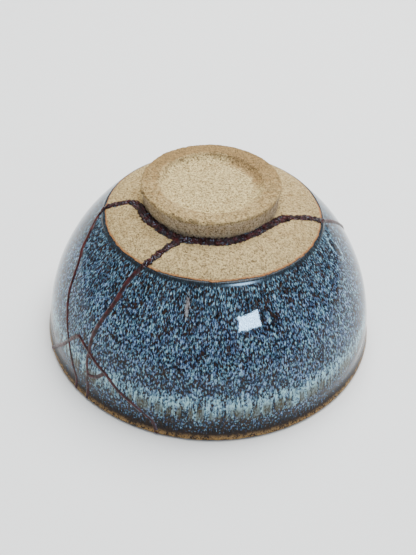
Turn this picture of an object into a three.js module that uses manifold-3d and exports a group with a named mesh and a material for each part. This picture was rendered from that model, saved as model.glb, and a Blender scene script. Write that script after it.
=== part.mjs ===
// A stoneware tea bowl, thrown and turned, glazed down to a bare clay foot.
// It was broken into seven sherds and put together again with dark lacquer, which fills every joint
// through the wall and stands a little proud of both faces.
// It stands upside down on its lip, as it is put away and as its foot is looked at.
// Millimetres, +Z up. The origin is the centre of the lip's circle, on the surface it stands on.

import * as THREE from "three";
import { mergeVertices } from "three/addons/utils/BufferGeometryUtils.js";
import Module from "manifold-3d";

// Driving dimensions of the bowl
const bowlHeight = 62.5; // from the lip to the bearing face of the foot ring
const lipRadius = 61; // where the lip is widest
const lipWidestHeight = 1.3;
const lipEdgeRound = 0.9; // how far the lip's round runs in from its widest to its bearing face
const lipFlatWidth = 2.2; // the bearing face of the lip
const lipInsideHeight = 1.6; // where the lip's inner slope meets the inside wall
const grooveHeight = 5.6; // the shallow groove that runs round under the lip
const grooveDepth = 0.25;
const grooveTop = 9;
const lipFlare = 0.7; // how far the lip stands out past the wall's own curve
const wallThickness = 4.2; // at the lip; the wall grows thicker towards the foot
const shoulderWidth = 15.1; // bare clay from the foot's base out to the line where the glaze stops
const shoulderDrop = 5;
const shoulderRound = 6; // how far the wall's slope runs on over the turned shoulder
const footHeight = 7.5;
const footBaseRadius = 22.4;
const footRadius = 23; // the foot ring leans out a little towards its bearing face
const footChamfer = 0.9;
const footRingWidth = 5.2; // bearing face and chamfer together
const recessDepth = 2.2;
const recessSlope = 1.7; // how far the recess's side runs in on its way down
const recessDome = 0.4;
const floorThickness = 6; // clay between the recess and the inside of the bowl

// Driving dimensions of the repair
const seamWidthOnGlaze = 1;
const seamWidthOnClay = 1.7;
const seamWidthAtFoot = 2.6;
const seamHeightOnGlaze = 0.3; // how far the lacquer stands proud of the wall
const seamHeightOnClay = 0.6;
const seamBevel = 0.4; // how deep the lacquer lies in the bevelled edges of the sherds
const seamShoulder = 0.3; // share of its width by which a seam is narrower at its top
const jointWidth = 0.4; // lacquer between two sherds
const jointGap = 0.3; // clearance between the lacquer and each sherd
const lipGap = 0.2; // the lacquer stops this far above the surface that the bowl stands on
const footSeamShare = 0.06; // up to this share of the wall, a seam is as wide as at the foot
const crumb = 1; // cubic millimetres; bits of clay smaller than this were lost in the break

// How finely curves are divided
const turns = 54;
const shoulderSteps = 4;
const wallSteps = 9;
const lipSteps = 3;
const lipRoundSteps = 2;
const insideSteps = 9;
const seamStepAround = 18; // degrees
const seamStepAlong = 0.14; // share of the wall

// Worked out from the driving dimensions
const shoulderHeight = bowlHeight - footHeight;
const glazeLineHeight = shoulderHeight - shoulderDrop;
const glazeLineRadius = footBaseRadius + shoulderWidth;
const wallRadius = lipRadius - lipFlare; // the wall outside is an arc of an ellipse, wallRise high
const wallRise = glazeLineHeight / Math.sqrt(1 - (glazeLineRadius / wallRadius) ** 2);
const recessFloor = bowlHeight - recessDepth;
const recessRadius = footRadius - footRingWidth;
const lipFlatRadius = lipRadius - lipEdgeRound;
const insideRadius = wallRadius - wallThickness;
const insideDepth = recessFloor - floorThickness;
const glazeLineAngle = Math.asin(glazeLineHeight / wallRise);
const grooveTopAngle = Math.asin(grooveTop / wallRise);
const lipInsideAngle = Math.asin(lipInsideHeight / insideDepth);

const wasm = await Module();
wasm.setup();

// Curves of the section, from the foot to the lip. The radius is x and the height is y.

const wallAt = (height) => wallRadius * Math.sqrt(1 - (height / wallRise) ** 2);
const glazeLine = new THREE.Vector2(glazeLineRadius, glazeLineHeight);
const glazeLineSlope = new THREE.Vector2(
  wallRadius * Math.sin(glazeLineAngle),
  -wallRise * Math.cos(glazeLineAngle),
).normalize();

const shoulderLine = new THREE.QuadraticBezierCurve(
  new THREE.Vector2(footBaseRadius, shoulderHeight),
  glazeLine.clone().addScaledVector(glazeLineSlope, -shoulderRound),
  glazeLine,
);
const wallLine = new THREE.EllipseCurve(
  0, 0, wallRadius, wallRise, glazeLineAngle, grooveTopAngle, true,
);
const lipLine = new THREE.SplineCurve([
  new THREE.Vector2(wallAt(grooveTop), grooveTop),
  new THREE.Vector2(wallAt(grooveHeight) - grooveDepth, grooveHeight),
  new THREE.Vector2(lipRadius, lipWidestHeight),
]);
const lipRound = new THREE.EllipseCurve(
  lipFlatRadius, lipWidestHeight, lipEdgeRound, lipWidestHeight, 0, -Math.PI / 2, true,
);
const insideLine = new THREE.EllipseCurve(
  0, 0, insideRadius, insideDepth, lipInsideAngle, Math.PI / 2, false,
);

const outside = new THREE.CurvePath();
outside.curves.push(shoulderLine, wallLine, lipLine);
const glazeShare = shoulderLine.getLength() / outside.getLength();

// The joints follow the breaks. A stop is an azimuth in degrees and a share of the way along the
// wall's outside, 0 at the foot's base and 1 at the lip. Azimuth 0 is +X and 90 is +Y.

const footJunction = [242, 0.03];
const forkJunction = [226.3, 0.72];
const leftRimJunction = [214.7, 0.78];
const triangleSide = [234.8, 0.78];
const triangleTip = [227.6, 0.86];
const lipShare = 1;

const joints = [
  {
    along: "up the left side, round the foot and down the right side",
    stops: [[222, lipShare], leftRimJunction, [204, 0.56], [199, 0.43], [191, 0.33], [179, 0.2],
      [182, 0.1], [190, 0.05], [205, 0.03], footJunction, [274, 0.01], [316, 0.01], [333, 0.02],
      [350, 0.1], [357, 0.22], [370, 0.38], [377, 0.5], [386, 0.7], [397, lipShare]],
  },
  {
    along: "down the front",
    stops: [footJunction, [238, 0.1], [233, 0.22], [230.5, 0.33], [229.5, 0.45], [226, 0.62],
      forkJunction],
  },
  {
    along: "zigzag from the left of the lip to the front",
    stops: [[201, lipShare], [207, 0.88], leftRimJunction, [219.9, 0.69], forkJunction,
      triangleSide, [242, 0.83], [251, 0.9], [255, lipShare]],
  },
  { along: "left of the triangle to the lip", stops: [forkJunction, triangleTip, [227.7, lipShare]] },
  { along: "foot of the triangle", stops: [triangleTip, triangleSide] },
];

// Each sherd is the one that lies at a place on the wall, given like a stop.
const sherds = [
  { name: "sherd_main", place: [90, 0.5] },
  { name: "sherd_front", place: [300, 0.5] },
  { name: "sherd_left", place: [214, 0.42] },
  { name: "sherd_rim_left", place: [211, 0.94] },
  { name: "sherd_rim_fork", place: [223.6, 0.94] },
  { name: "sherd_rim_front", place: [240, 0.94] },
  { name: "sherd_triangle", place: [229.6, 0.79] },
];

// Solids

function solidOf(geometry) {
  const bare = geometry.clone();
  bare.deleteAttribute("normal");
  bare.deleteAttribute("uv");
  const merged = mergeVertices(bare, 1e-4);
  return new wasm.Manifold(
    new wasm.Mesh({
      numProp: 3,
      vertProperties: merged.attributes.position.array,
      triVerts: new Uint32Array(merged.index.array),
    }),
  );
}

function bowlSolid() {
  const section = [
    new THREE.Vector2(0, recessFloor + recessDome),
    new THREE.Vector2((recessRadius - recessSlope) / 2, recessFloor + recessDome / 2),
    new THREE.Vector2(recessRadius - recessSlope, recessFloor),
    new THREE.Vector2(recessRadius, bowlHeight),
    new THREE.Vector2(footRadius - footChamfer, bowlHeight),
    new THREE.Vector2(footRadius, bowlHeight - footChamfer),
    ...shoulderLine.getPoints(shoulderSteps),
    ...wallLine.getPoints(wallSteps).slice(1),
    ...lipLine.getPoints(lipSteps).slice(1),
    ...lipRound.getPoints(lipRoundSteps).slice(1),
    new THREE.Vector2(lipFlatRadius - lipFlatWidth, 0),
    ...insideLine.getPoints(insideSteps).slice(0, -1),
    new THREE.Vector2(0, insideDepth),
  ];
  const turned = new THREE.LatheGeometry(section.reverse(), turns);
  return solidOf(turned.rotateX(Math.PI / 2));
}

// Joins rings of points into a closed solid. The outline is a ring laid flat, for the two ends.
function loft(rings, outline) {
  const size = outline.length;
  const last = (rings.length - 1) * size;
  const faces = [];
  for (let here = 0; here < last; here += size) {
    for (let a = 0; a < size; a++) {
      const b = (a + 1) % size;
      const next = here + size;
      faces.push(here + a, here + b, next + b, here + a, next + b, next + a);
    }
  }
  for (const [a, b, c] of THREE.ShapeUtils.triangulateShape(outline, [])) {
    faces.push(a, c, b, last + a, last + b, last + c);
  }
  const geometry = new THREE.BufferGeometry().setFromPoints(rings.flat());
  return solidOf(geometry.setIndex(faces));
}

// Puts stops between far apart ones, so that a seam keeps to the round of the bowl.
function finer(stops) {
  const all = [stops[0]];
  for (let leg = 1; leg < stops.length; leg++) {
    const [azimuth, share] = stops[leg - 1];
    const around = stops[leg][0] - azimuth;
    const along = stops[leg][1] - share;
    const steps = Math.max(Math.abs(around) / seamStepAround, Math.abs(along) / seamStepAlong);
    const count = Math.ceil(steps);
    for (let step = 1; step <= count; step++) {
      all.push([azimuth + (around * step) / count, share + (along * step) / count]);
    }
  }
  return all;
}

// A point in space for a radius and a height at an azimuth
function pointAt(azimuth, radius, height) {
  const angle = THREE.MathUtils.degToRad(azimuth);
  return new THREE.Vector3(radius * Math.cos(angle), radius * Math.sin(angle), height);
}

// How far it is through the wall, from a point outside and along a direction of the section
function wallThrough(point, inward) {
  const x = point.x / insideRadius;
  const y = point.y / insideDepth;
  const alongX = inward.x / insideRadius;
  const alongY = inward.y / insideDepth;
  const square = alongX ** 2 + alongY ** 2;
  const half = x * alongX + y * alongY;
  return (-half - Math.sqrt(half ** 2 - square * (x ** 2 + y ** 2 - 1))) / square;
}

// Where the joint meets the outside, which way is out, and how thick the wall is there
function onWall([azimuth, share]) {
  const point = outside.getPointAt(share);
  const slope = outside.getTangentAt(share);
  const outward = new THREE.Vector2(-slope.y, slope.x);
  return {
    share,
    surface: pointAt(azimuth, point.x, point.y),
    outward: pointAt(azimuth, outward.x, outward.y),
    thickness: wallThrough(point, outward.clone().negate()),
  };
}

// A joint that ends at the lip runs on below it, straight down.
function belowLip([azimuth, share]) {
  return {
    share,
    surface: pointAt(azimuth, lipRadius, -lipWidestHeight),
    outward: pointAt(azimuth, 1, 0),
    thickness: lipEdgeRound + lipFlatWidth,
  };
}

function routeOf(stops) {
  const route = finer(stops).map(onWall);
  if (stops[0][1] === lipShare) route.unshift(belowLip(stops[0]));
  if (stops[stops.length - 1][1] === lipShare) route.push(belowLip(stops[stops.length - 1]));
  route.forEach((stop, index) => {
    const before = route[Math.max(index - 1, 0)].surface;
    const after = route[Math.min(index + 1, route.length - 1)].surface;
    const ahead = after.clone().sub(before);
    stop.sideways = stop.outward.clone().cross(ahead).normalize();
  });
  return route;
}

function seamWidth({ share }) {
  if (share <= footSeamShare) return seamWidthAtFoot;
  return share < glazeShare ? seamWidthOnClay : seamWidthOnGlaze;
}

const seamHeight = ({ share }) => (share < glazeShare ? seamHeightOnClay : seamHeightOnGlaze);

// The section across a joint: a seam outside, a thin web through the wall and a seam inside.
// The x is across the joint, and the y is the level above the wall's outside.
function sectionAt(stop, clearance) {
  const half = (width) => width / 2 + clearance;
  const narrower = (width) => half(width) * (1 - seamShoulder);
  const bevel = seamBevel + clearance;
  const inside = -stop.thickness;
  const rightSide = [
    new THREE.Vector2(narrower(seamWidthOnGlaze), inside - seamHeightOnGlaze - clearance),
    new THREE.Vector2(half(seamWidthOnGlaze), inside + bevel),
    new THREE.Vector2(half(jointWidth), inside + bevel),
    new THREE.Vector2(half(jointWidth), -bevel),
    new THREE.Vector2(half(seamWidth(stop)), -bevel),
    new THREE.Vector2(narrower(seamWidth(stop)), seamHeight(stop) + clearance),
  ];
  const leftSide = rightSide.map(({ x, y }) => new THREE.Vector2(-x, y));
  return [...rightSide, ...leftSide.reverse()];
}

// The lacquer of one joint. A clearance makes it larger all round, for cutting the sherds.
function jointSolid(stops, clearance) {
  const route = routeOf(stops);
  const sections = route.map((stop) => sectionAt(stop, clearance));
  const rings = sections.map((section, index) => {
    const { surface, outward, sideways } = route[index];
    return section.map(({ x, y }) =>
      surface.clone().addScaledVector(sideways, x).addScaledVector(outward, y),
    );
  });
  return loft(rings, sections[0]);
}

function union(solids) {
  return solids.reduce((sum, solid) => sum.add(solid));
}

// Everything above a height, as far as the bowl reaches
function above(height) {
  const box = new THREE.BoxGeometry(3 * lipRadius, 3 * lipRadius, bowlHeight);
  return solidOf(box.translate(0, 0, height + bowlHeight / 2));
}

function lacquerSolid() {
  return union(joints.map(({ stops }) => jointSolid(stops, 0))).intersect(above(lipGap));
}

function sherdSolids() {
  const cuts = union(joints.map(({ stops }) => jointSolid(stops, jointGap)));
  const solids = bowlSolid().subtract(cuts).decompose();
  return solids.filter((solid) => solid.volume() > crumb);
}

function solidAt(solids, stop) {
  const { surface, outward, thickness } = onWall(stop);
  const middle = surface.addScaledVector(outward, -thickness / 2);
  const probe = solidOf(new THREE.OctahedronGeometry(jointGap).translate(...middle));
  return solids.find((solid) => !solid.intersect(probe).isEmpty());
}

// Meshes

const stoneware = new THREE.MeshStandardMaterial({ color: 0x3f5468, roughness: 0.2, metalness: 0 });
const urushi = new THREE.MeshStandardMaterial({ color: 0x2e1412, roughness: 0.45, metalness: 0 });

function meshOf(name, solid, material) {
  const { vertProperties, triVerts } = solid.getMesh();
  const geometry = new THREE.BufferGeometry();
  geometry.setAttribute("position", new THREE.BufferAttribute(vertProperties, 3));
  geometry.setIndex(new THREE.BufferAttribute(triVerts, 1));
  geometry.computeVertexNormals();
  const mesh = new THREE.Mesh(geometry, material.clone());
  mesh.name = name;
  return mesh;
}

const pieces = sherdSolids();
if (pieces.length !== sherds.length) {
  throw new Error(`The joints part the bowl into ${pieces.length} sherds`);
}

const group = new THREE.Group();
group.name = "tea_bowl";
for (const sherd of sherds) {
  group.add(meshOf(sherd.name, solidAt(pieces, sherd.place), stoneware));
}
group.add(meshOf("lacquer", lacquerSolid(), urushi));

export default group;
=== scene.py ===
"""Dresses the mended tea bowl: fine sherds with glaze and bare clay, and rough lacquer seams.

The file is laid out as a Blender add-on and runs as a script. The bowl is turned from a drawn
section, the lacquer is drawn along the breaks and cut out of the bowl, and what is left of the
bowl falls apart into the sherds. Everything is in metres, in the frame of the solids: the bowl
stands upside down on its lip, +Z up, and the origin is the centre of the lip's circle.
"""

import math

import bpy
from bpy.props import FloatProperty, FloatVectorProperty, IntProperty, PointerProperty
from mathutils import Matrix, Vector, noise


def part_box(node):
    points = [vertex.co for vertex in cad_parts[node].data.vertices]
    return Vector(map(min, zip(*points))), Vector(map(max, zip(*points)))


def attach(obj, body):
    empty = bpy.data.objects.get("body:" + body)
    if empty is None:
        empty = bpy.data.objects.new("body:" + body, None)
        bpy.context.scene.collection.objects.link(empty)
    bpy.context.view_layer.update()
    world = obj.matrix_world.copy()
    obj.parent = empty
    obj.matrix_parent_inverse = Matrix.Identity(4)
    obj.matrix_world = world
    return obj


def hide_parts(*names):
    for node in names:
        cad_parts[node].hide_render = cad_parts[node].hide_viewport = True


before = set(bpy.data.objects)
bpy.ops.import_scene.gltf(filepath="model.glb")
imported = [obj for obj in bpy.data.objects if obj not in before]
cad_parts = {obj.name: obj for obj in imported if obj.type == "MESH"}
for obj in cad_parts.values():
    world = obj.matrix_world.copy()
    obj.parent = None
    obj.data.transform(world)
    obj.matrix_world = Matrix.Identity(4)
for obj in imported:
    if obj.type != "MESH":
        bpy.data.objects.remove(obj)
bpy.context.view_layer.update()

bl_info = {
    "name": "Mended tea bowl",
    "version": (1, 0, 0),
    "blender": (4, 5, 0),
    "location": "View3D > Sidebar > Tea bowl",
    "description": "Models a tea bowl that was broken and mended with lacquer",
    "category": "Object",
}

MM = 0.001
WHOLE_BOWL = "whole_bowl"
LACQUER_TOOL = "lacquer_tool"

# The highest corner of the main sherd's solid, which gives the bowl's height and lip radius.
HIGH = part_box("sherd_main")[1]

SHERDS = (
    "sherd_main", "sherd_front", "sherd_left", "sherd_rim_left", "sherd_rim_fork",
    "sherd_rim_front", "sherd_triangle",
)

# The breaks, along nearly the same lines as in the part's source but with more stops. A stop is
# an azimuth in degrees, with 0 at +X and 90 at +Y, and a share of the way along the wall's
# outside, 0 at the foot's base and 1 at the lip.
LIP = 1.0
FOOT_JUNCTION = (246, 0.034)
FORK_JUNCTION = (226.3, 0.73)
LEFT_RIM_JUNCTION = (214.8, 0.78)
TRIANGLE_SIDE = (234.8, 0.78)
TRIANGLE_TIP = (227.5, 0.86)

# Marks on the glaze, given in the same way: a dark loop ringed by a painted reflection, a painted
# reflection drawn as a pale streak, and a dull patch of glaze with a painted reflection in it.
LOOP_WITH_REFLECTION = (346.5, 0.337)
STREAK_REFLECTION = (260.8, 0.339)
DARK_MARK = (292.4, 0.423)
PALE_REFLECTION = (293.8, 0.404)

BREAKS = {
    "round_the_foot": (
        (222, LIP), (220.4, 0.93), (218.5, 0.87), (217, 0.83), LEFT_RIM_JUNCTION,
        (211.5, 0.72), (209, 0.66), (205, 0.59), (203.3, 0.51), (200, 0.435), (195, 0.39),
        (192.7, 0.34), (188, 0.3), (183, 0.26), (181, 0.21), (184.7, 0.134), (184, 0.088),
        (189, 0.049), (203, 0.03), (207, 0.032), (223.5, 0.026), (235, 0.027), FOOT_JUNCTION,
        (254.5, 0.02), (273.5, 0.017), (286.5, 0.013), (300, 0.006), (313, 0.003), (329, 0.008),
        (339, 0.035), (346.5, 0.1), (354, 0.21), (359, 0.26), (366, 0.34), (372, 0.44),
        (379, 0.55), (387, 0.73), (397, LIP),
    ),
    "down_the_front": (
        FOOT_JUNCTION, (241.8, 0.093), (238.5, 0.16), (235.7, 0.218), (232.8, 0.276),
        (231.3, 0.336), (231, 0.39), (230.2, 0.45), (228, 0.535), (226.3, 0.62), (226, 0.67),
        FORK_JUNCTION,
    ),
    "zigzag": (
        (201, LIP), (208.3, 0.89), (212.2, 0.83), LEFT_RIM_JUNCTION, (217, 0.735), (220, 0.695),
        (222.3, 0.71), FORK_JUNCTION, (230.3, 0.76), TRIANGLE_SIDE, (239.4, 0.825),
        (242.3, 0.85), (246.5, 0.877), (251.3, 0.92), (253.4, 0.946), (255, LIP),
    ),
    "triangle_to_lip": (
        FORK_JUNCTION, (226, 0.767), (226.4, 0.812), TRIANGLE_TIP, (227, 0.88), (227.3, 0.93),
        (227.7, LIP),
    ),
    "triangle_foot": (TRIANGLE_TIP, (229.6, 0.848), (231.6, 0.833), (233.3, 0.803), TRIANGLE_SIDE),
}

# Azimuths in degrees. A side is given by where it starts, is in full, fades and ends.
BURR_AZIMUTH = 197
NICKED_SIDE = (175, 200, 262, 290)
THICK_SIDE = (192, 204, 226, 240)

# The lacquer begins to clot at the first of these heights and is clotted from the second up.
CLOTS_FROM = 48 * MM
CLOTS_FULL = 51 * MM

# Patterns that run down the wall are drawn as if it were unrolled onto a cylinder of this
# radius, with this length along it for a radian of the wall's slope, both in millimetres.
UNROLLED_RADIUS = 50.0
UNROLLED_RADIAN = 60.0

# Which way the brown stain on the recess's side lies.
STAIN = math.radians(35)

# The window's light: which way it lies from the bowl, its sides in metres and its colour.
WINDOW_DIRECTION = (0.448, -0.746, 0.492)
WINDOW_WIDTH = 0.31
WINDOW_HEIGHT = 0.23
WINDOW_COLOUR = (0.40, 0.68, 1)

# How many pixels high the picture is that the focal length is counted in.
PICTURE_HEIGHT = 555


def length(name, description, millimetres):
    """A length that a user can change, given in millimetres and kept in metres."""
    return FloatProperty(
        name=name, description=description, default=millimetres * MM, min=0.0,
        unit="LENGTH", subtype="DISTANCE", precision=5,
    )


def colour(name, description, red, green, blue):
    """A colour that a user can change, in linear light."""
    return FloatVectorProperty(
        name=name, description=description, default=(red, green, blue), min=0.0, max=1.0,
        size=3, subtype="COLOR",
    )


class BowlSizes(bpy.types.PropertyGroup):
    """Sizes of the turned bowl."""

    height: length("Height", "From the lip to the foot ring's bearing face", HIGH[2] / MM)
    lip_radius: length("Lip radius", "Where the lip is widest", HIGH[1] / MM)
    lip_widest: length("Lip's widest height", "Above the surface that the bowl stands on", 1.3)
    lip_edge_round: length("Lip's edge round", "How far the lip's outer round runs in", 0.9)
    lip_flat: length("Lip's flat", "Width of the lip's bearing face", 2.2)
    lip_inside: length("Lip's inner slope", "Height of the slope inside the lip", 1.6)
    lip_flare: length("Lip flare", "How far the lip stands out past the wall's curve", 0.7)
    groove_height: length("Groove height", "Of the shallow groove under the lip", 5.6)
    groove_depth: length("Groove depth", "Of the shallow groove under the lip", 0.25)
    groove_top: length("Groove top", "Where the groove runs out into the wall", 9)
    wall: length("Wall", "Thickness of the wall at the lip", 4.2)
    shoulder_width: length("Shoulder width", "Bare clay outside the foot", 14.6)
    shoulder_drop: length("Shoulder drop", "From the foot's base to the glaze line", 5)
    shoulder_round: length("Shoulder round", "How far the wall's slope runs on", 6)
    foot_height: length("Foot height", "From the shoulder to the bearing face", 7.5)
    foot_base: length("Foot base radius", "Where the foot meets the shoulder", 22.9)
    foot_radius: length("Foot radius", "At the top of the foot's side", 23.8)
    foot_edge: length("Foot's edge", "Size of the rounded edges of the foot ring", 0.9)
    foot_ring: length("Foot ring", "Width of the ring from its side to the recess", 6)
    recess: length("Recess", "Depth of the recess in the foot", 2.2)
    recess_slope: length("Recess slope", "How far the recess's side runs in", 1.7)
    recess_dome: length("Recess dome", "How far the recess rises in its middle", 0.4)
    floor: length("Floor", "Clay between the recess and the inside", 6)
    roll_height: length("Glaze roll height", "Of the thick edge of the glaze", 0.22)
    roll_width: length("Glaze roll width", "Of the thick edge of the glaze", 0.65)
    foot_aside: length("Foot aside", "How far the foot stands left of the middle", 1)
    turns: IntProperty(name="Turns", description="Faces round the bowl", default=400, min=48)


class SeamSizes(bpy.types.PropertyGroup):
    """Sizes of the lacquer seams."""

    on_glaze: length("Width on glaze", "Of a seam on the glaze", 1.7)
    on_clay: length("Width on clay", "Of a seam on the bare clay", 2.4)
    at_foot: length("Width at foot", "Of the seam along the foot's base", 3.2)
    at_left: length("Width at the left", "Of the thickest lacquer, left of the foot", 3.8)
    sunk: length("Sunk", "Depth of a seam's middle line below the surface", 0.62)
    web: length("Web", "Thickness of the lacquer between two sherds", 0.4)
    wobble: length("Wobble", "How far a seam strays from its line", 0.25)
    lumps: length("Lumps", "How rough the lacquer is on the glaze", 0.12)
    clots: length("Clots", "How rough the lacquer is on the clay", 1.5)


class Finishes(bpy.types.PropertyGroup):
    """Colours of glaze, clay and lacquer."""

    glaze_pale: colour("Pale glaze", "Lightest strands in the glaze", 0.40, 0.59, 0.67)
    glaze_light: colour("Light glaze", "Light strands in the glaze", 0.160, 0.275, 0.385)
    glaze_mid: colour("Blue glaze", "Blue between the strands", 0.050, 0.098, 0.170)
    glaze_deep: colour("Deep glaze", "Deep blue round the dark ground", 0.009, 0.018, 0.032)
    glaze_dark: colour("Dark glaze", "Navy ground of the glaze", 0.001, 0.0015, 0.003)
    glaze_edge: colour("Glaze edge", "Thick edge of the glaze at the clay", 0.010, 0.013, 0.016)
    glaze_teal: colour("Teal tint", "What the blue is multiplied by in some places", 0.88, 1.0, 0.94)
    glaze_violet: colour("Violet tint", "What the blue is multiplied by in others", 0.86, 0.84, 1.0)
    glaze_rust: colour("Rust specks", "Iron brown specks in the glaze", 0.029, 0.0135, 0.006)
    # A painted reflection: a faint reflection painted into the glaze as a short pale streak.
    glaze_streak_reflection: colour("Streak", "A short pale streak in the glaze", 0.36, 0.31, 0.29)
    glaze_band: colour("Pale band", "Olive brown gaps in the band above the lip", 0.075, 0.066, 0.036)
    lip_gold: colour("Lip", "Golden brown glaze, thin on the lip's edge", 0.30, 0.175, 0.06)
    lip_brown: colour("Dark lip", "Brown black line above the lip", 0.013, 0.0046, 0.0012)
    clay: colour("Clay", "Bare stoneware", 0.64, 0.49, 0.235)
    clay_pale: colour("Pale clay", "The recess in the foot", 0.84, 0.68, 0.325)
    # Greyer clay on the foot's side, darkened further as painted shade.
    clay_grey_and_shade: colour("Grey clay", "The foot's side", 0.50, 0.385, 0.27)
    clay_brown: colour("Brown clay", "The foot ring and faint patches", 0.315, 0.198, 0.076)
    clay_stain: colour("Stain", "Iron stain on the recess's side", 0.24, 0.115, 0.036)
    clay_dark: colour("Dark clay", "Shadowed grain of the clay", 0.13, 0.085, 0.035)
    clay_speck: colour("Specks", "Dark iron specks in the clay", 0.10, 0.06, 0.035)
    clay_flash: colour("Flash", "Orange line where the glaze stops", 0.34, 0.13, 0.04)
    lacquer: colour("Lacquer", "Maroon lacquer on the glaze", 0.062, 0.011, 0.0115)
    lacquer_dark: colour("Dark lacquer", "Thick lacquer on the clay", 0.013, 0.0012, 0.0016)


class StageSizes(bpy.types.PropertyGroup):
    """The camera and the light."""

    elevation: FloatProperty(
        name="Elevation", description="How steeply the camera looks down",
        default=math.radians(40.8), subtype="ANGLE",
    )
    roll: FloatProperty(
        name="Roll", description="How far the camera is turned about its view",
        default=math.radians(2.36), subtype="ANGLE",
    )
    distance: length("Distance", "From the camera to what it aims at", 299)
    aim_side: FloatProperty(
        name="Aim to the side", description="Where the camera aims, along X",
        default=-0.85 * MM, unit="LENGTH", precision=5,
    )
    aim_height: length("Aim height", "Height of what the camera aims at", 19.2)
    focal_pixels: FloatProperty(
        name="Focal length", description="In pixels of a picture 555 pixels high", default=800,
    )
    top_light: FloatProperty(name="Top light", description="In watts", default=34)
    window_light: FloatProperty(name="Window light", description="In watts", default=50)
    surroundings: FloatProperty(name="Surroundings", description="World strength", default=0.5)


class TeaBowlSettings(bpy.types.PropertyGroup):
    """All that a user can change."""

    bowl: PointerProperty(type=BowlSizes)
    seams: PointerProperty(type=SeamSizes)
    finishes: PointerProperty(type=Finishes)
    stage: PointerProperty(type=StageSizes)


def settings():
    """The settings of the open scene."""
    return bpy.context.scene.tea_bowl


def polar(radius, azimuth, height):
    """A point at a radius and an azimuth in degrees about the upright axis."""
    angle = math.radians(azimuth)
    return Vector((radius * math.cos(angle), radius * math.sin(angle), height))


def azimuth_of(place):
    """The azimuth of a point in degrees, from 0 to 360."""
    return math.degrees(math.atan2(place.y, place.x)) % 360


# Curves of the section. A point has its radius as x and its height as y.


def spread(curve, size, spacing):
    """Points along a curve of the given size, about a spacing apart, without the first."""
    steps = max(1, round(size / spacing))
    return [curve(step / steps) for step in range(1, steps + 1)]


def straight(start, end, spacing):
    """Points from start to end."""
    return spread(lambda t: start.lerp(end, t), (end - start).length, spacing)


def bent(start, corner, end, spacing):
    """Points along a curve that leaves start towards corner and meets end from it."""
    size = (corner - start).length + (end - corner).length
    return spread(lambda t: start.lerp(corner, t).lerp(corner.lerp(end, t), t), size, spacing)


def elliptic(radius, rise, start, end, spacing):
    """Points on an ellipse about the lip's centre, from angle start to angle end."""
    size = abs(end - start) * (radius + rise) / 2
    turn = lambda t: start + (end - start) * t
    return spread(
        lambda t: Vector((radius * math.cos(turn(t)), rise * math.sin(turn(t)))), size, spacing
    )


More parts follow.
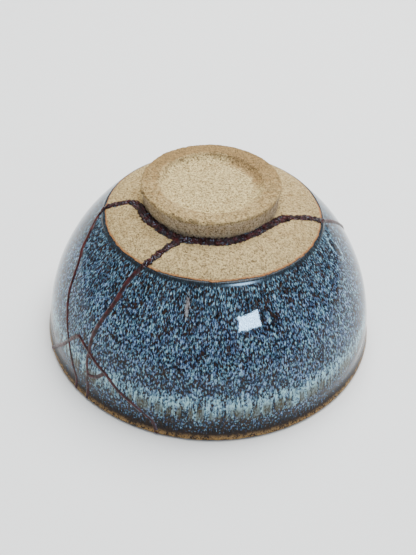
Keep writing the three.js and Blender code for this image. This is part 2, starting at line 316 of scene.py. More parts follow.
class Section:
    """The bowl's section: its leading sizes, and its points from the recess to the inside."""

    def __init__(self, sizes):
        self.sizes = sizes
        self.foot_base = sizes.height - sizes.foot_height
        self.glaze_height = self.foot_base - sizes.shoulder_drop
        self.glaze_radius = sizes.foot_base + sizes.shoulder_width
        self.wall_radius = sizes.lip_radius - sizes.lip_flare
        cosine = self.glaze_radius / self.wall_radius
        self.wall_rise = self.glaze_height / math.sqrt(1 - cosine**2)
        self.glaze_angle = math.acos(cosine)
        self.inside_radius = self.wall_radius - sizes.wall
        self.inside_depth = sizes.height - sizes.recess - sizes.floor
        # A point's radius and twice its height add up to this at the glaze line, and to less
        # inside the bowl.
        self.edge_sum = self.glaze_radius + 2 * self.glaze_height

    def foot(self):
        """The recess, the foot ring and the foot's side, down to the shoulder."""
        s = self.sizes
        edge = s.foot_edge
        floor = s.height - s.recess
        corner = s.foot_radius - s.foot_ring
        side = Vector((s.foot_base, self.foot_base))
        slope = Vector((s.foot_radius, s.height)) - side
        points = [Vector((0, floor + s.recess_dome))]
        reach = Vector((corner - s.recess_slope - edge, floor))
        points += straight(points[0], reach, 0.6 * MM)
        under_ring = Vector((corner - edge / 2, s.height - edge))
        on_ring = Vector((corner + edge, s.height))
        points += bent(reach, reach + Vector((edge, 0)), under_ring, 0.35 * MM)
        points += bent(points[-1], Vector((corner, s.height)), on_ring, 0.25 * MM)
        points += straight(points[-1], Vector((s.foot_radius - edge, s.height)), 0.4 * MM)
        under_edge = side + slope * (1 - edge / s.foot_height)
        points += bent(points[-1], Vector((s.foot_radius, s.height)), under_edge, 0.25 * MM)
        points += straight(points[-1], side + slope * (edge / s.foot_height), 0.4 * MM)
        return points

    def shoulder(self):
        """The bare clay from the foot's base to the glaze line."""
        s = self.sizes
        start = Vector((s.foot_base, self.foot_base))
        end = Vector((self.glaze_radius, self.glaze_height))
        slope = Vector((
            self.wall_radius * math.sin(self.glaze_angle),
            -self.wall_rise * math.cos(self.glaze_angle),
        )).normalized()
        return bent(start, end - slope * s.shoulder_round, end, 0.45 * MM)

    def wall(self):
        """The glazed wall, with the roll at its upper edge and the groove and flare of the lip."""
        s = self.sizes
        top = math.asin(s.groove_top / self.wall_rise)
        under_roll = self.glaze_angle - 4 * MM / self.wall_rise
        size = (self.wall_radius, self.wall_rise)
        points = elliptic(*size, self.glaze_angle, under_roll, 0.3 * MM)
        points += elliptic(*size, under_roll, top, 0.75 * MM)
        start = Vector((self.glaze_radius, self.glaze_height))
        for point in points:
            away = (point - start).length / s.roll_width
            point += point.normalized() * s.roll_height * math.exp(-((away - 1.2) ** 2))
        groove = Vector((
            self.wall_radius * math.sqrt(1 - (s.groove_height / self.wall_rise) ** 2) - s.groove_depth,
            s.groove_height,
        ))
        lip = Vector((s.lip_radius, s.lip_widest))
        points += bent(points[-1], points[-1].lerp(groove, 0.5), groove, 0.6 * MM)
        points += bent(groove, Vector((groove.x, (groove.y + lip.y) / 2)), lip, 0.5 * MM)
        return points

    def inside(self):
        """The lip's edge, its bearing face and the inside, up to the axis."""
        s = self.sizes
        lip = Vector((s.lip_radius, s.lip_widest))
        outer = Vector((s.lip_radius - s.lip_edge_round, 0))
        inner = outer - Vector((s.lip_flat, 0))
        start = math.asin(s.lip_inside / self.inside_depth)
        slope = Vector((self.inside_radius * math.cos(start), s.lip_inside))
        points = bent(lip, Vector((lip.x, 0)), outer, 0.25 * MM)
        points += straight(outer, inner, 0.7 * MM)
        points += bent(inner, inner.lerp(slope, 0.5) - Vector((0.3 * MM, 0)), slope, 0.4 * MM)
        points += elliptic(self.inside_radius, self.inside_depth, start, math.pi / 2, 1.4 * MM)
        points[-1].x = 0
        return points

    def points(self):
        """The whole section, with its radius along X and its height along Z."""
        flat = self.foot() + self.shoulder() + self.wall() + self.inside()
        return [Vector((point.x, 0, point.y)) for point in flat]

    def is_inside(self, place):
        """Whether a point of the base is on its inner side."""
        edge = self.edge_sum - 10 * MM
        return place.z < self.foot_base + MM and math.hypot(place.x, place.y) + 2 * place.z < edge

    def on_wall(self, azimuth, share):
        """A point outside at a share of the way from the foot's base to the lip's widest."""
        line = [Vector((self.sizes.foot_base, self.foot_base))] + self.shoulder() + self.wall()
        sizes = [(b - a).length for a, b in zip(line, line[1:])]
        left = share * sum(sizes)
        for start, end, size in zip(line, line[1:], sizes):
            if left <= size:
                break
            left -= size
        point = start.lerp(end, min(left / size, 1))
        return polar(point.x, azimuth, point.y)


# Modelling helpers


def start_fresh():
    """Leaves edit mode and deselects everything, so that an operator acts on the new piece alone."""
    if bpy.context.object and bpy.context.object.mode != "OBJECT":
        bpy.ops.object.mode_set(mode="OBJECT")
    bpy.ops.object.select_all(action="DESELECT")


def pick(*objects):
    """Selects these objects alone, with the first one active."""
    start_fresh()
    for piece in objects:
        piece.select_set(True)
    bpy.context.view_layer.objects.active = objects[0]
    return objects[0]


def draw_line(name, points):
    """A chain of edges through points in space, drawn by extruding one vertex. Stays in edit mode."""
    start_fresh()
    bpy.ops.mesh.primitive_plane_add(size=MM)
    line = bpy.context.object
    line.name = name
    bpy.ops.object.mode_set(mode="EDIT")
    bpy.ops.mesh.select_all(action="SELECT")
    bpy.ops.mesh.merge(type="CENTER")
    bpy.ops.transform.translate(value=points[0])
    for before, after in zip(points, points[1:]):
        bpy.ops.mesh.extrude_region_move(TRANSFORM_OT_translate={"value": after - before})
    return line


def edit_all(piece):
    """Opens a piece in edit mode with everything selected."""
    pick(piece)
    bpy.ops.object.mode_set(mode="EDIT")
    bpy.ops.mesh.select_all(action="SELECT")


def apply_modifier(piece, kind, **values):
    """Adds a modifier with these values to a piece and applies it."""
    pick(piece)
    modifier = piece.modifiers.new(kind.title(), kind)
    for key, value in values.items():
        setattr(modifier, key, value)
    bpy.ops.object.modifier_apply(modifier=modifier.name)


def boolean(piece, other, operation):
    """Joins, cuts or intersects a closed piece with another closed piece."""
    apply_modifier(piece, "BOOLEAN", operation=operation, solver="MANIFOLD", object=other)


def copy_of(piece, name):
    """A copy with a mesh of its own."""
    copy = piece.copy()
    copy.data = piece.data.copy()
    copy.name = name
    bpy.context.collection.objects.link(copy)
    return copy


def remove(*objects):
    """Deletes helpers that were only drawn to cut or to shape something."""
    for piece in objects:
        bpy.data.objects.remove(piece, do_unlink=True)


def grain(name, size, depth=2):
    """A cloudy texture for displacing, with lumps of about this size."""
    texture = bpy.data.textures.new(name, "CLOUDS")
    texture.noise_scale = size
    texture.noise_depth = depth
    return texture


def weigh(piece, name, weight):
    """A vertex group whose weight is a function of the vertex's place."""
    group = piece.vertex_groups.new(name=name)
    for vertex in piece.data.vertices:
        value = weight(vertex.co)
        if value > 0:
            group.add([vertex.index], value, "REPLACE")
    return name


def ramp(value, low, high):
    """0 below low, 1 above high and a smooth step between them."""
    t = min(max((value - low) / (high - low), 0), 1)
    return t * t * (3 - 2 * t)


def side_share(azimuth, side):
    """How much an azimuth belongs to a side that starts, is in full, fades and ends."""
    start, full, fade, end = side
    return ramp(azimuth, start, full) * (1 - ramp(azimuth, fade, end))


def roughen(piece, texture, strength, group="", direction="NORMAL"):
    """Displaces a piece by a cloudy texture, as deep as strength from lowest to highest."""
    apply_modifier(
        piece, "DISPLACE", texture=texture, texture_coords="LOCAL", strength=strength,
        mid_level=0.5, vertex_group=group, direction=direction,
    )


# The bowl


def turn_shell(section):
    """Turns the bowl's whole shell from its section."""
    shell = draw_line(WHOLE_BOWL, section.points())
    bpy.ops.mesh.select_all(action="SELECT")
    bpy.ops.mesh.spin(
        steps=section.sizes.turns, angle=math.tau, center=(0, 0, 0), axis=(0, 0, 1)
    )
    bpy.ops.mesh.select_all(action="SELECT")
    bpy.ops.mesh.remove_doubles(threshold=0.01 * MM)
    bpy.ops.mesh.normals_make_consistent(inside=False)
    bpy.ops.object.mode_set(mode="OBJECT")
    return shell


def set_foot_aside(shell, section):
    """Moves the foot and its recess a little to the left, as it was trimmed off the middle."""
    s = section.sizes
    pick(shell)
    for part in (shell.data.vertices, shell.data.edges, shell.data.polygons):
        part.foreach_set("select", [False] * len(part))
    for vertex in shell.data.vertices:
        radius = math.hypot(vertex.co.x, vertex.co.y)
        vertex.select = vertex.co.z > section.foot_base + 0.5 * MM and radius < s.foot_radius + MM
    bpy.ops.object.mode_set(mode="EDIT")
    bpy.ops.mesh.select_mode(type="VERT")
    bpy.ops.transform.translate(
        value=(-s.foot_aside, 0, 0), use_proportional_edit=True, use_proportional_connected=True,
        proportional_edit_falloff="SMOOTH", proportional_size=9 * MM,
    )
    bpy.ops.object.mode_set(mode="OBJECT")


def is_clay(section, place):
    """1 on bare clay and 0 on glaze, with a short change between them."""
    if section.is_inside(place):
        return 0
    return ramp(place.z - section.glaze_height, 0.1 * MM, 1.2 * MM)


def nicked(section, place):
    """How much of the foot ring's upper edge is chipped at a place: most at its front left."""
    s = section.sizes
    radius = math.hypot(place.x, place.y)
    top = ramp(place.z, s.height - 2.2 * MM, s.height - 0.4 * MM)
    rim = ramp(radius, s.foot_radius - 2.6 * MM, s.foot_radius - MM)
    return top * rim * side_share(azimuth_of(place), NICKED_SIDE)


def burred(section, place):
    """How much a place belongs to the small burr on the left of the foot ring's edge."""
    s = section.sizes
    burr = polar(s.foot_radius - 0.8 * MM, BURR_AZIMUTH, s.height)
    burr.x -= s.foot_aside
    return 1 - ramp((place - burr).length, 0.7 * MM, 2.3 * MM)


def work_clay(shell, section):
    """Gives the turned clay its unevenness, grain and nicks, and the glaze its slow waves."""
    clay = weigh(shell, "clay", lambda place: is_clay(section, place))
    edge = weigh(shell, "nicked", lambda place: nicked(section, place))
    burr = weigh(shell, "burr", lambda place: burred(section, place))
    glaze = weigh(
        shell, "glaze",
        lambda place: (1 - is_clay(section, place)) * ramp(place.z, 0, 4 * MM),
    )
    roughen(shell, grain("slow unevenness", 7 * MM), 0.5 * MM, clay)
    roughen(shell, grain("clay grain", 0.9 * MM, 3), 0.36 * MM, clay)
    apply_modifier(shell, "DISPLACE", strength=0.7 * MM, mid_level=0, vertex_group=burr)
    roughen(shell, grain("nicks", 1.5 * MM, 3), 2.2 * MM, edge)
    roughen(shell, grain("waves in the glaze", 9 * MM), 0.1 * MM, glaze)


# The lacquer


def route(section, stops, end_radius, end_height):
    """The stops of a break as points on the wall, with one more where it leaves the lip."""
    points = [section.on_wall(*stop) for stop in stops]
    for end, stop in ((0, stops[0]), (len(points), stops[-1])):
        if stop[1] == LIP:
            points.insert(end, polar(end_radius, stop[0], end_height))
    return points


def draw_seam(name, points, shell, seams, width):
    """A raised seam along a route: a line laid on the shell, given a round section and roughened."""
    line = draw_line(name, points)
    bpy.ops.object.mode_set(mode="OBJECT")
    for cuts, repeats in ((2, 2), (4, 3)):
        divide(line, cuts)
        smooth_middle(line, repeats)
    roughen(line, grain("wobble", 5 * MM), seams.wobble, direction="RGB_TO_XYZ")
    apply_modifier(
        line, "SHRINKWRAP", target=shell, offset=-seams.sunk, wrap_mode="ABOVE_SURFACE"
    )
    bpy.ops.object.convert(target="CURVE")
    line = bpy.context.object
    line.data.bevel_depth = MM
    line.data.bevel_resolution = 5
    line.data.use_fill_caps = True
    for spline in line.data.splines:
        for point in spline.points:
            place = Vector(point.co[:3])
            ragged = 1 + 0.12 * noise.noise(place / (1.6 * MM))
            radius = math.hypot(width(place) / 2 * ragged, seams.sunk)
            point.radius = max(min(radius, place.z - 0.1 * MM), 0.1 * MM) / MM
    bpy.ops.object.convert(target="MESH")
    line = bpy.context.object
    close_up(line)
    thick = weigh(line, "thick", lambda place: ramp(place.z, CLOTS_FROM, CLOTS_FULL))
    roughen(line, grain("lumps", 0.7 * MM, 3), seams.lumps)
    roughen(line, grain("clots", 0.9 * MM, 4), seams.clots, thick)
    return line


def close_up(piece):
    """Merges what lies in one place and turns the normals outwards."""
    edit_all(piece)
    bpy.ops.mesh.remove_doubles(threshold=0.001 * MM)
    bpy.ops.mesh.normals_make_consistent(inside=False)
    bpy.ops.object.mode_set(mode="OBJECT")


def divide(line, cuts):
    """Cuts every edge of a drawn line into shorter ones."""
    edit_all(line)
    bpy.ops.mesh.subdivide(number_cuts=cuts)
    bpy.ops.object.mode_set(mode="OBJECT")


def smooth_middle(line, repeats):
    """Rounds the corners of a drawn line and leaves its two ends in place."""
    pick(line)
    uses = [0] * len(line.data.vertices)
    for edge in line.data.edges:
        for vertex in edge.vertices:
            uses[vertex] += 1
    for vertex in line.data.vertices:
        vertex.select = uses[vertex.index] == 2
    for edge in line.data.edges:
        edge.select = all(uses[vertex] == 2 for vertex in edge.vertices)
    bpy.ops.object.mode_set(mode="EDIT")
    bpy.ops.mesh.vertices_smooth(factor=0.5, repeat=repeats)
    bpy.ops.object.mode_set(mode="OBJECT")


def draw_web(name, points, seams):
    """A thin sheet through the wall along a route, from outside the bowl to its hollow."""
    line = draw_line(name, [point * 1.03 for point in points])
    bpy.ops.mesh.select_all(action="SELECT")
    bpy.ops.mesh.subdivide(number_cuts=3)
    bpy.ops.mesh.select_all(action="SELECT")
    bpy.ops.mesh.extrude_region_move(TRANSFORM_OT_translate={"value": (0, 0, 0)})
    bpy.ops.transform.resize(value=(0.8, 0.8, 0.8), center_override=(0, 0, 0))
    bpy.ops.object.mode_set(mode="OBJECT")
    apply_modifier(line, "SOLIDIFY", thickness=seams.web, offset=0)
    return line


def seam_width(section, seams, place):
    """A seam is narrow on glaze, wider on clay and widest where it fills the foot's base."""
    s = section.sizes
    radius = math.hypot(place.x, place.y)
    on_clay = ramp(place.z, section.glaze_height - 1.5 * MM, section.glaze_height + 0.5 * MM)
    at_foot = 1 - ramp(radius, s.foot_base + 3.5 * MM, s.foot_base + 5.5 * MM)
    at_left = side_share(azimuth_of(place), THICK_SIDE)
    thin = 0.15 * ramp(36 * MM - place.z, 0, 20 * MM)
    width = seams.on_glaze * (1 - thin)
    width += (seams.on_clay - width) * on_clay
    thickest = seams.at_foot + (seams.at_left - seams.at_foot) * at_left
    return width + (thickest - width) * at_foot * on_clay


def make_lacquer(shell, section, seams):
    """All seams as one piece. Leaves the same piece with its webs uncut, for cutting the bowl."""
    s = section.sizes
    bearing_middle = s.lip_radius - s.lip_edge_round - s.lip_flat / 2
    width_outside = lambda place: seam_width(section, seams, place)
    width_inside = lambda place: seams.on_glaze * 0.8
    tubes, webs = [], []
    for name, stops in BREAKS.items():
        outer = route(section, stops, bearing_middle, 0)
        tubes.append(draw_seam(f"{name}_outside", outer, shell, seams, width_outside))
        inner = [point * 0.9 if point.z > 0 else point for point in outer]
        tubes.append(draw_seam(f"{name}_inside", inner, shell, seams, width_inside))
        below_lip = route(section, stops, s.lip_radius, -2 * MM)
        webs.append(draw_web(f"{name}_web", below_lip, seams))
    for web in webs[1:]:
        boolean(webs[0], web, "UNION")
    for tube in tubes[1:]:
        boolean(tubes[0], tube, "UNION")
    cutter = copy_of(tubes[0], LACQUER_TOOL)
    boolean(cutter, webs[0], "UNION")
    lacquer = webs[0]
    boolean(lacquer, shell, "INTERSECT")
    boolean(lacquer, tubes[0], "UNION")
    lacquer.name = "lacquer_seams"
    remove(*tubes, *webs[1:])
    return lacquer


# Materials


class Recipe:
    """A material's nodes, with a short call for each kind that is used here."""

    def __init__(self, name):
        self.material = bpy.data.materials.new(name)
        self.material.use_nodes = True
        self.tree = self.material.node_tree
        self.shader = self.tree.nodes["Principled BSDF"]

    def put(self, socket, value):
        """Links a socket, or sets its value."""
        if isinstance(value, bpy.types.NodeSocket):
            self.tree.links.new(value, socket)
        elif hasattr(value, "__len__") and len(value) == 3 and socket.type == "RGBA":
            socket.default_value = (*value, 1)
        else:
            socket.default_value = value

    def node(self, kind, inputs=(), **values):
        """A node with its settings and inputs, given by name or by number."""
        node = self.tree.nodes.new(kind)
        for key, value in values.items():
            setattr(node, key, value)
        for key, value in dict(inputs).items():
            self.put(node.inputs[key], value)
        return node

    def place(self):
        """Where a point is on the piece, in millimetres."""
        coordinates = self.node("ShaderNodeTexCoord")
        scaled = self.node(
            "ShaderNodeVectorMath", {0: coordinates.outputs["Object"], "Scale": 1 / MM},
            operation="SCALE",
        )
        return scaled.outputs[0]

    def radius(self, vector):
        """How far a point is from the upright axis."""
        parts = self.node("ShaderNodeSeparateXYZ", {0: vector}).outputs
        flat = self.node("ShaderNodeCombineXYZ", {0: parts[0], 1: parts[1]}).outputs[0]
        return self.node("ShaderNodeVectorMath", {0: flat}, operation="LENGTH").outputs["Value"]

    def stretch(self, vector, scale, shift=(0, 0, 0)):
        """Coordinates scaled and shifted, for a pattern that is drawn out or moved."""
        mapping = self.node("ShaderNodeMapping", {"Vector": vector, "Scale": scale, "Location": shift})
        return mapping.outputs[0]

    def math(self, operation, first, second):
        """One sum of two values."""
        return self.node("ShaderNodeMath", {0: first, 1: second}, operation=operation).outputs[0]

    def step(self, value, low, high, bottom=0.0, top=1.0):
        """From bottom to top, smoothly, as the value goes from low to high."""
        node = self.node(
            "ShaderNodeMapRange",
            {"Value": value, "From Min": low, "From Max": high, "To Min": bottom, "To Max": top},
            interpolation_type="SMOOTHSTEP",
        )
        return node.outputs[0]

    def band(self, value, low, high, soft):
        """1 between low and high and 0 elsewhere, with soft edges."""
        rise = self.step(value, low - soft, low + soft)
        fall = self.step(value, high - soft, high + soft, 1.0, 0.0)
        return self.math("MULTIPLY", rise, fall)

    def noise(self, vector, size, detail=2.0, roughness=0.5, distortion=0.0):
        """Cloudy noise from 0 to 1, with features of about this size in millimetres."""
        node = self.node("ShaderNodeTexNoise", {
            "Vector": vector, "Scale": 1 / size, "Detail": detail, "Roughness": roughness,
            "Distortion": distortion,
        })
        return node.outputs["Fac"]

    def mix(self, factor, first, second, blend="MIX"):
        """Two colours mixed by a factor."""
        node = self.node("ShaderNodeMix", data_type="RGBA", blend_type=blend)
        self.put(node.inputs["Factor"], factor)
        self.put(node.inputs[6], first)
        self.put(node.inputs[7], second)
        return node.outputs[2]

    def sum(self, *terms):
        """The sum of values, each given alone or as a value and a factor."""
        total = 0.0
        for term in terms:
            value, factor = term if isinstance(term, tuple) else (term, 1.0)
            total = self.node(
                "ShaderNodeMath", {0: value, 1: factor, 2: total}, operation="MULTIPLY_ADD"
            ).outputs[0]
        return total

    def tones(self, value, *stops):
        """Colours or greys at rising values, with straight changes between them."""
        low, high = stops[0][0], stops[-1][0]
        fraction = self.node(
            "ShaderNodeMapRange", {"Value": value, "From Min": low, "From Max": high}
        ).outputs[0]
        node = self.node("ShaderNodeValToRGB", {"Fac": fraction})
        points = node.color_ramp.elements
        while len(points) < len(stops):
            points.new(0.5)
        for point, (position, tone) in zip(points, stops):
            point.position = (position - low) / (high - low)
            point.color = (*tone, 1) if hasattr(tone, "__len__") else (tone, tone, tone, 1)
        return node.outputs["Color"]

    def bump(self, height, distance):
        """A bump of this depth in millimetres."""
        inputs = {"Height": height, "Distance": distance * MM, "Strength": 1.0}
        return self.node("ShaderNodeBump", inputs).outputs[0]


def unrolled(recipe, place, radius, height):
    """Where a point is round the bowl and along its wall, for patterns that run down the wall."""
    round_bowl = recipe.node(
        "ShaderNodeVectorMath", {0: place, "Scale": recipe.math("DIVIDE", UNROLLED_RADIUS, radius)},
        operation="SCALE",
    )
    parts = recipe.node("ShaderNodeSeparateXYZ", {0: round_bowl.outputs[0]}).outputs
    along = recipe.math("MULTIPLY", recipe.math("ARCTAN2", height, radius), UNROLLED_RADIAN)
    return recipe.node("ShaderNodeCombineXYZ", {0: parts[0], 1: parts[1], 2: along}).outputs[0]


def glaze_colour(recipe, place, radius, height, section, finishes):
    """Blue strands and rust specks on navy, a pale band above the lip, a golden brown lip and painted
    reflections.
    """
    wall = unrolled(recipe, place, radius, height)
    inner = inner_side(recipe, radius, height, section)
    strands = recipe.noise(recipe.stretch(wall, (1, 1, 0.45)), 0.46, 2, 0.55, 0.35)
    patches = recipe.noise(recipe.stretch(wall, (1, 1, 0.4), (3, 17, 11)), 4.5, 2)
    runs = recipe.noise(recipe.stretch(wall, (1, 1, 0.12), (5, 2, 9)), 0.8, 2, 0.6)
    flecks = recipe.noise(recipe.stretch(place, (1, 1, 0.8), (6, 8, 2)), 0.5, 2, 0.6)
    drift = recipe.noise(recipe.stretch(place, (1, 1, 1), (2, 2, 9)), 2.2, 2)
    gaps = recipe.noise(recipe.stretch(wall, (1, 1, 0.15), (8, 1, 4)), 1.8, 2)
    specks = recipe.noise(recipe.stretch(wall, (1, 1, 0.4), (31, 7, 5)), 0.55, 2, 0.5, 0.3)
    hues = recipe.noise(recipe.stretch(wall, (1, 1, 0.5), (12, 4, 3)), 1.1, 2)
    level = recipe.sum(height, (patches, 2.0), (runs, 3.0), -2.5)
    bias = recipe.tones(
        level, (0, 0.46), (3.5, 0.38), (6, 0.405), (9, 0.455), (11.5, 0.555), (14.5, 0.63),
        (17.5, 0.54), (20.5, 0.47), (28, 0.49), (36, 0.485), (40, 0.46), (46, 0.44), (50.5, 0.45),
    )
    band = recipe.band(level, 10, 18, 2.0)
    drawn = recipe.math("MULTIPLY", recipe.math("SUBTRACT", runs, 0.5), band)
    # The loop: a darker middle of glaze, ringed by a painted reflection, which is its pale outline.
    loop = mark_away(recipe, wall, inner, section, LOOP_WITH_REFLECTION, 2.4, 5)
    hollow = recipe.step(loop, 0.6, 0.85, -0.08, 0.0)
    reflection_outline = recipe.math("MULTIPLY", recipe.band(loop, 0.85, 1.15, 0.12), 0.13)
    dull = recipe.step(mark_away(recipe, wall, inner, section, DARK_MARK, 5, 5), 0.5, 1.1, -0.07, 0.0)
    # The dull patch is darker glaze; the pale one in it is a painted reflection, a faint second
    # reflection beside the window's highlight.
    reflection_patch = recipe.step(mark_away(recipe, wall, inner, section, PALE_REFLECTION, 1.3, 2), 0.7, 1.1, 0.14, 0.0)
    factor = recipe.sum(
        (strands, 1.1), (patches, 0.16), bias, drawn, hollow, reflection_outline, dull, reflection_patch, -0.63
    )
    blue = recipe.tones(
        factor, (0.36, finishes.glaze_dark), (0.43, finishes.glaze_deep),
        (0.50, finishes.glaze_mid), (0.59, finishes.glaze_light), (0.74, finishes.glaze_pale),
    )
    tint = recipe.mix(
        recipe.sum(
            recipe.step(hues, 0.42, 0.58), recipe.step(level, 40, 48, 0.0, -0.6), (band, -0.6)
        ),
        finishes.glaze_teal, finishes.glaze_violet,
    )
    blue = recipe.mix(1.0, blue, tint, "MULTIPLY")
    rust = recipe.math(
        "MULTIPLY", recipe.step(specks, 0.51, 0.58), recipe.step(factor, 0.52, 0.66, 1.0, 0.0)
    )
    speckled = recipe.mix(recipe.math("MULTIPLY", rust, 0.85), blue, finishes.glaze_rust)
    # The streak is a painted reflection: a faint reflection painted into the glaze's colour.
    streak_away = mark_away(recipe, wall, inner, section, STREAK_REFLECTION, 0.9, 3.2)
    away = recipe.sum(streak_away, (strands, -3.0), 1.5)
    streak = recipe.step(away, 0.4, 1.2, 0.5, 0.0)
    speckled = recipe.mix(streak, speckled, finishes.glaze_streak_reflection)
    low = recipe.band(level, 9.5, 14, 1.5)
    pale = recipe.math("MULTIPLY", low, recipe.step(recipe.sum(gaps, (runs, 0.7)), 0.76, 0.90))
    banded = recipe.mix(recipe.math("MULTIPLY", pale, 0.75), speckled, finishes.glaze_band)
    lip_tone = recipe.tones(
        recipe.sum(flecks, (drift, 0.4), -0.2), (0.40, finishes.lip_brown), (0.58, finishes.lip_gold)
    )
    lip_level = recipe.sum(height, (runs, 1.2), (flecks, 1.0), -1.1)
    edged = recipe.mix(recipe.step(lip_level, 2.6, 4.6, 1.0, 0.0), banded, finishes.lip_brown)
    return recipe.mix(recipe.step(lip_level, 1.4, 3.0, 1.0, 0.0), edged, lip_tone)


def inner_side(recipe, radius, height, section):
    """1 on the inner side of the wall and 0 on its outer side."""
    across = recipe.math("POWER", recipe.math("MULTIPLY", radius, MM / section.wall_radius), 2)
    along = recipe.math("POWER", recipe.math("MULTIPLY", height, MM / section.wall_rise), 2)
    return recipe.step(recipe.sum(across, along), 0.90, 0.94, 1.0, 0.0)


def mark_away(recipe, wall, inner, section, mark, across, along):
    """How far a point is from one of the marks, the dull patch and the painted reflections alike: 1 on
    the outline of the mark's oval.
    """
    middle = section.on_wall(*mark) / MM
    radius = math.hypot(middle.x, middle.y)
    up = math.atan2(middle.z, radius) * UNROLLED_RADIAN
    scale = (1 / across, 1 / across, 1 / along)
    centre = (
        middle.x * UNROLLED_RADIUS / radius / across,
        middle.y * UNROLLED_RADIUS / radius / across,
        up / along,
    )
    away = recipe.node(
        "ShaderNodeVectorMath", {0: recipe.stretch(wall, scale), 1: centre}, operation="DISTANCE"
    )
    ragged = recipe.noise(recipe.stretch(wall, (1, 1, 0.5), (9, 9, 1)), 1.1, 2)
    return recipe.sum(away.outputs["Value"], (ragged, 0.9), (inner, 5), -0.45)


def clay_colour(recipe, place, section, finishes):
    """Sandy clay with fine specks: pale in the recess, brown on the ring, and greyer with painted shade
    on the foot's side.
    """
    s = section.sizes
    about_foot = recipe.stretch(place, (1, 1, 1), (s.foot_aside / MM, 0, 0))
    x, y, height = recipe.node("ShaderNodeSeparateXYZ", {0: about_foot}).outputs
    radius = recipe.radius(about_foot)
    blotches = recipe.noise(place, 5, 3, 0.6)
    mottle = recipe.noise(recipe.stretch(place, (1, 1, 1), (7, 3, 1)), 0.62, 3, 0.7, 0.3)
    specks = recipe.noise(recipe.stretch(place, (1, 1, 1), (2, 9, 6)), 0.5, 2, 0.7)
    patches = recipe.noise(recipe.stretch(place, (1, 1, 1), (5, 1, 8)), 1.8, 3, 0.7, 0.4)
    turned = recipe.node("ShaderNodeCombineXYZ", {
        0: recipe.math("MULTIPLY", radius, 0.4),
        1: recipe.math("MULTIPLY", recipe.math("ARCTAN2", y, x), 12),
    }).outputs[0]
    wrinkles = recipe.noise(turned, 0.55, 2, 0.6, 0.3)
    top = s.height / MM
    rim = s.foot_radius / MM
    base = s.foot_base / MM
    ring = recipe.math(
        "MULTIPLY", recipe.step(height, top - 1.6, top - 0.4),
        recipe.step(radius, rim - 6.6, rim - 5.0),
    )
    recess = recipe.math(
        "MULTIPLY", recipe.step(height, top - 4, top - 3.5),
        recipe.step(radius, rim - 7.5, rim - 6.0, 1.0, 0.0),
    )
    # The foot's side: greyer clay, darkened further as painted shade.
    side = recipe.math(
        "MULTIPLY", recipe.band(height, section.foot_base / MM + 0.2, top - 1.2, 0.6),
        recipe.step(radius, rim + 1.5, rim + 0.4, 0.0, 1.0),
    )
    side = recipe.math("MULTIPLY", side, recipe.step(radius, base - 1.5, base - 0.5))
    earth = recipe.mix(recipe.math("MULTIPLY", recess, 0.8), finishes.clay, finishes.clay_pale)
    earth = recipe.mix(recipe.math("MULTIPLY", side, 0.75), earth, finishes.clay_grey_and_shade)
    shaded = recipe.math("MULTIPLY", ring, recipe.step(y, -20, 20, 0.36, 0.95))
    shoulder = recipe.math(
        "MULTIPLY", recipe.step(radius, base, base + 2), recipe.step(y, -34, -12, 0.0, 0.2)
    )
    brown = recipe.sum(
        shaded, shoulder, (recipe.step(blotches, 0.5, 0.75), 0.3),
        (recipe.step(patches, 0.44, 0.62), 0.4),
    )
    earth = recipe.mix(brown, earth, finishes.clay_brown)
    towards = recipe.sum((x, math.cos(STAIN)), (y, math.sin(STAIN)))
    stain = recipe.step(recipe.math("DIVIDE", towards, radius), 0.70, 0.93)
    inner = rim - s.foot_ring / MM
    near_side = recipe.band(recipe.sum(radius, (patches, 4)), inner - 1.4, inner + 2.2, 1.5)
    stain = recipe.math("MULTIPLY", recipe.math("MULTIPLY", stain, near_side), 0.7)
    earth = recipe.mix(stain, earth, finishes.clay_stain)
    creased = recipe.math("MULTIPLY", recess, recipe.step(wrinkles, 0.36, 0.54, 0.6, 0.0))
    earth = recipe.mix(creased, earth, finishes.clay_brown)
    grainy = recipe.mix(recipe.step(mottle, 0.34, 0.58, 0.95, 0.0), earth, finishes.clay_dark)
    return recipe.mix(recipe.step(specks, 0.62, 0.70, 0.0, 0.85), grainy, finishes.clay_speck)


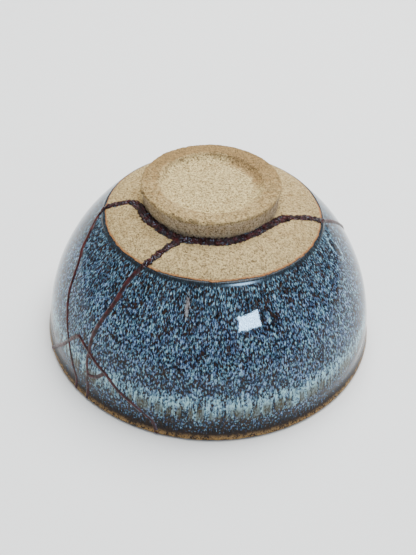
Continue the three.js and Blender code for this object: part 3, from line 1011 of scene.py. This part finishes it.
def make_stoneware(section, finishes):
    """Glaze below the glaze line and inside, bare clay above it, with a flash between them."""
    recipe = Recipe("glazed stoneware")
    place = recipe.place()
    height = recipe.node("ShaderNodeSeparateXYZ", {0: place}).outputs[2]
    radius = recipe.radius(place)
    line = section.glaze_height / MM
    waver = recipe.noise(place, 9)
    ragged = recipe.noise(place, 1.2, 2)
    level = recipe.sum(height, (waver, 0.6), (ragged, 0.3), -0.45 - line)
    edge_sum = section.edge_sum / MM
    reach = recipe.math(
        "MAXIMUM", recipe.step(recipe.sum(radius, (height, 2)), edge_sum - 11, edge_sum - 9),
        recipe.step(height, section.foot_base / MM + 1, section.foot_base / MM + 2),
    )
    clay = recipe.math("MULTIPLY", recipe.step(level, -0.04, 0.06), reach)
    glaze = glaze_colour(recipe, place, radius, height, section, finishes)
    earth = clay_colour(recipe, place, section, finishes)
    flash = recipe.step(level, 0.15, 0.55, 0.85, 0.0)
    earth = recipe.mix(flash, earth, finishes.clay_flash)
    edge = recipe.math("MULTIPLY", recipe.step(level, -1.4, -0.7, 0.0, 0.85), reach)
    glaze = recipe.mix(edge, glaze, finishes.glaze_edge)
    shader = recipe.shader
    recipe.put(shader.inputs["Base Color"], recipe.mix(clay, glaze, earth))
    satin = recipe.band(level, -1.5, -0.2, 0.3)
    recipe.put(shader.inputs["Roughness"], recipe.sum((clay, 0.82), (satin, 0.2), 0.05))
    shader.inputs["IOR"].default_value = 1.45
    shader.inputs["Specular IOR Level"].default_value = 0.2
    fine = recipe.noise(place, 0.6, 3, 0.7)
    pits = recipe.step(recipe.noise(recipe.stretch(place, (1, 1, 1), (4, 4, 4)), 1.1, 2), 0.30, 0.40)
    relief = recipe.math("MULTIPLY", recipe.sum((fine, 1.4), (pits, 0.4)), clay)
    waves = recipe.math("MULTIPLY", recipe.noise(place, 1.5, 2), recipe.sum((clay, -1), 1.0))
    ripple = recipe.sum(relief, (waves, 0.02))
    recipe.put(shader.inputs["Normal"], recipe.bump(ripple, 0.5))
    return recipe.material


def make_lacquer_material(section, finishes):
    """Maroon lacquer, smooth on the glaze, dark and rough where it lies thick on the clay."""
    recipe = Recipe("dark lacquer")
    place = recipe.place()
    height = recipe.node("ShaderNodeSeparateXYZ", {0: place}).outputs[2]
    blotches = recipe.noise(place, 1.6, 3)
    thick = recipe.step(height, section.glaze_height / MM - 2, section.glaze_height / MM + 1)
    thin = recipe.mix(recipe.step(blotches, 0.35, 0.65), finishes.lacquer_dark, finishes.lacquer)
    dark = recipe.mix(recipe.step(blotches, 0.42, 0.70), finishes.lacquer_dark, finishes.lacquer)
    shader = recipe.shader
    recipe.put(shader.inputs["Base Color"], recipe.mix(thick, thin, dark))
    recipe.put(shader.inputs["Roughness"], recipe.sum((thick, -0.24), 0.36))
    shader.inputs["IOR"].default_value = 1.45
    shader.inputs["Specular IOR Level"].default_value = 0.34
    fine = recipe.math("MULTIPLY", recipe.noise(place, 1.0, 1, 0.6), recipe.sum((thick, 0.9), 0.1))
    recipe.put(shader.inputs["Normal"], recipe.bump(fine, 1.9))
    return recipe.material


# Operators


class TEABOWL_OT_lacquer(bpy.types.Operator):
    """Turns the whole bowl and draws the lacquer in its breaks"""

    bl_idname = "teabowl.lacquer"
    bl_label = "Lacquer"

    def execute(self, context):
        chosen = settings()
        section = Section(chosen.bowl)
        shell = turn_shell(section)
        set_foot_aside(shell, section)
        work_clay(shell, section)
        lacquer = make_lacquer(shell, section, chosen.seams)
        finish_piece(lacquer, make_lacquer_material(section, chosen.finishes), 40)
        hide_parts("lacquer")
        return {"FINISHED"}


class TEABOWL_OT_sherds(bpy.types.Operator):
    """Cuts the whole bowl along its lacquer into the sherds"""

    bl_idname = "teabowl.sherds"
    bl_label = "Sherds"

    def execute(self, context):
        shell = bpy.data.objects.get(WHOLE_BOWL)
        cutter = bpy.data.objects.get(LACQUER_TOOL)
        if shell is None or cutter is None:
            raise RuntimeError("The lacquer comes first: the sherds are cut from its bowl.")
        chosen = settings()
        boolean(shell, cutter, "DIFFERENCE")
        remove(cutter)
        stoneware = make_stoneware(Section(chosen.bowl), chosen.finishes)
        for sherd, node in part_sherds(shell):
            finish_piece(sherd, stoneware, 35)
            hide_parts(node)
        return {"FINISHED"}


def part_sherds(shell):
    """Takes the cut shell apart and pairs each sherd with the solid that it stands for."""
    edit_all(shell)
    bpy.ops.mesh.separate(type="LOOSE")
    bpy.ops.object.mode_set(mode="OBJECT")
    loose = [piece for piece in bpy.context.selected_objects if piece.type == "MESH"]
    pairs = []
    for node in SHERDS:
        low, high = (Vector(corner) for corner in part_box(node))
        apart = lambda piece: (lowest(piece) - low).length + (highest(piece) - high).length
        sherd = min(loose, key=apart)
        loose.remove(sherd)
        sherd.name = f"{node}_fine"
        pairs.append((sherd, node))
    remove(*loose)
    return pairs


def lowest(piece):
    """The lowest corner of a piece's box."""
    return Vector([min(corner[axis] for corner in piece.bound_box) for axis in range(3)])


def highest(piece):
    """The highest corner of a piece's box."""
    return Vector([max(corner[axis] for corner in piece.bound_box) for axis in range(3)])


def finish_piece(piece, material, angle):
    """Gives a finished piece its material, shading and body."""
    pick(piece)
    piece.data.materials.clear()
    piece.data.materials.append(material)
    piece.vertex_groups.clear()
    bpy.ops.object.shade_smooth_by_angle(angle=math.radians(angle))
    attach(piece, "root")


class TEABOWL_OT_stage(bpy.types.Operator):
    """Sets the floor, the soft light, the window's light and the camera"""

    bl_idname = "teabowl.stage"
    bl_label = "Stage"

    def execute(self, context):
        chosen = settings().stage
        set_floor()
        set_lights(chosen)
        set_camera(chosen)
        return {"FINISHED"}


def set_floor():
    """A pale floor: a flat plane under the bowl."""
    start_fresh()
    bpy.ops.mesh.primitive_plane_add(size=3)
    floor = bpy.context.object
    floor.name = "floor"
    recipe = Recipe("pale paper")
    recipe.put(recipe.shader.inputs["Base Color"], (0.82, 0.83, 0.82))
    recipe.put(recipe.shader.inputs["Roughness"], 0.9)
    floor.data.materials.append(recipe.material)


def add_area_light(name, direction, distance, size, power):
    """A square soft light at a direction from the bowl, facing it."""
    start_fresh()
    place = Vector(direction).normalized() * distance
    bpy.ops.object.light_add(type="AREA", location=place)
    light = bpy.context.object
    light.name = name
    light.data.shape = "SQUARE"
    light.data.size = size
    light.data.energy = power
    light.rotation_euler = place.to_track_quat("Z", "Y").to_euler()
    return light


def set_lights(chosen):
    """A large soft light from above, a small window to the right, and pale surroundings."""
    add_area_light("top_light", (0.15, 0.3, 1), 1.1, 1.0, chosen.top_light)
    window = add_area_light(
        "window_card", WINDOW_DIRECTION, 1.2, WINDOW_HEIGHT, chosen.window_light
    )
    window.data.shape = "RECTANGLE"
    window.data.size = WINDOW_WIDTH
    window.data.size_y = WINDOW_HEIGHT
    window.data.color = WINDOW_COLOUR
    window.visible_diffuse = False
    world = bpy.data.worlds.new("surroundings")
    bpy.context.scene.world = world
    world.use_nodes = True
    background = world.node_tree.nodes["Background"]
    background.inputs["Color"].default_value = (0.93, 0.96, 1.0, 1)
    background.inputs["Strength"].default_value = chosen.surroundings


def set_camera(chosen):
    """The camera at the photograph's viewing angle."""
    start_fresh()
    bpy.ops.object.camera_add()
    camera = bpy.context.object
    camera.name = "camera"
    camera.data.sensor_width = 36
    camera.data.lens = camera.data.sensor_width * chosen.focal_pixels / PICTURE_HEIGHT
    camera.data.clip_start = 0.01
    tilt = Matrix.Rotation(math.pi / 2 - chosen.elevation, 4, "X")
    view = tilt @ Matrix.Rotation(chosen.roll, 4, "Z")
    aim = Vector((chosen.aim_side, 0, chosen.aim_height))
    back = tilt @ Vector((0, 0, 1))
    camera.matrix_world = Matrix.Translation(aim + back * chosen.distance) @ view
    bpy.context.scene.camera = camera


class TEABOWL_PT_panel(bpy.types.Panel):
    """Lists the operators in the 3D view's sidebar"""

    bl_label = "Mended tea bowl"
    bl_idname = "TEABOWL_PT_panel"
    bl_space_type = "VIEW_3D"
    bl_region_type = "UI"
    bl_category = "Tea bowl"

    def draw(self, context):
        for operator in OPERATORS:
            self.layout.operator(operator.bl_idname)


OPERATORS = (TEABOWL_OT_lacquer, TEABOWL_OT_sherds, TEABOWL_OT_stage)
CLASSES = (
    BowlSizes, SeamSizes, Finishes, StageSizes, TeaBowlSettings, *OPERATORS, TEABOWL_PT_panel,
)


def register():
    for cls in CLASSES:
        bpy.utils.register_class(cls)
    bpy.types.Scene.tea_bowl = PointerProperty(type=TeaBowlSettings)


def unregister():
    del bpy.types.Scene.tea_bowl
    for cls in reversed(CLASSES):
        bpy.utils.unregister_class(cls)


def main():
    register()
    bpy.ops.teabowl.lacquer()
    bpy.ops.teabowl.sherds()
    bpy.ops.teabowl.stage()


if __name__ == "__main__":
    main()
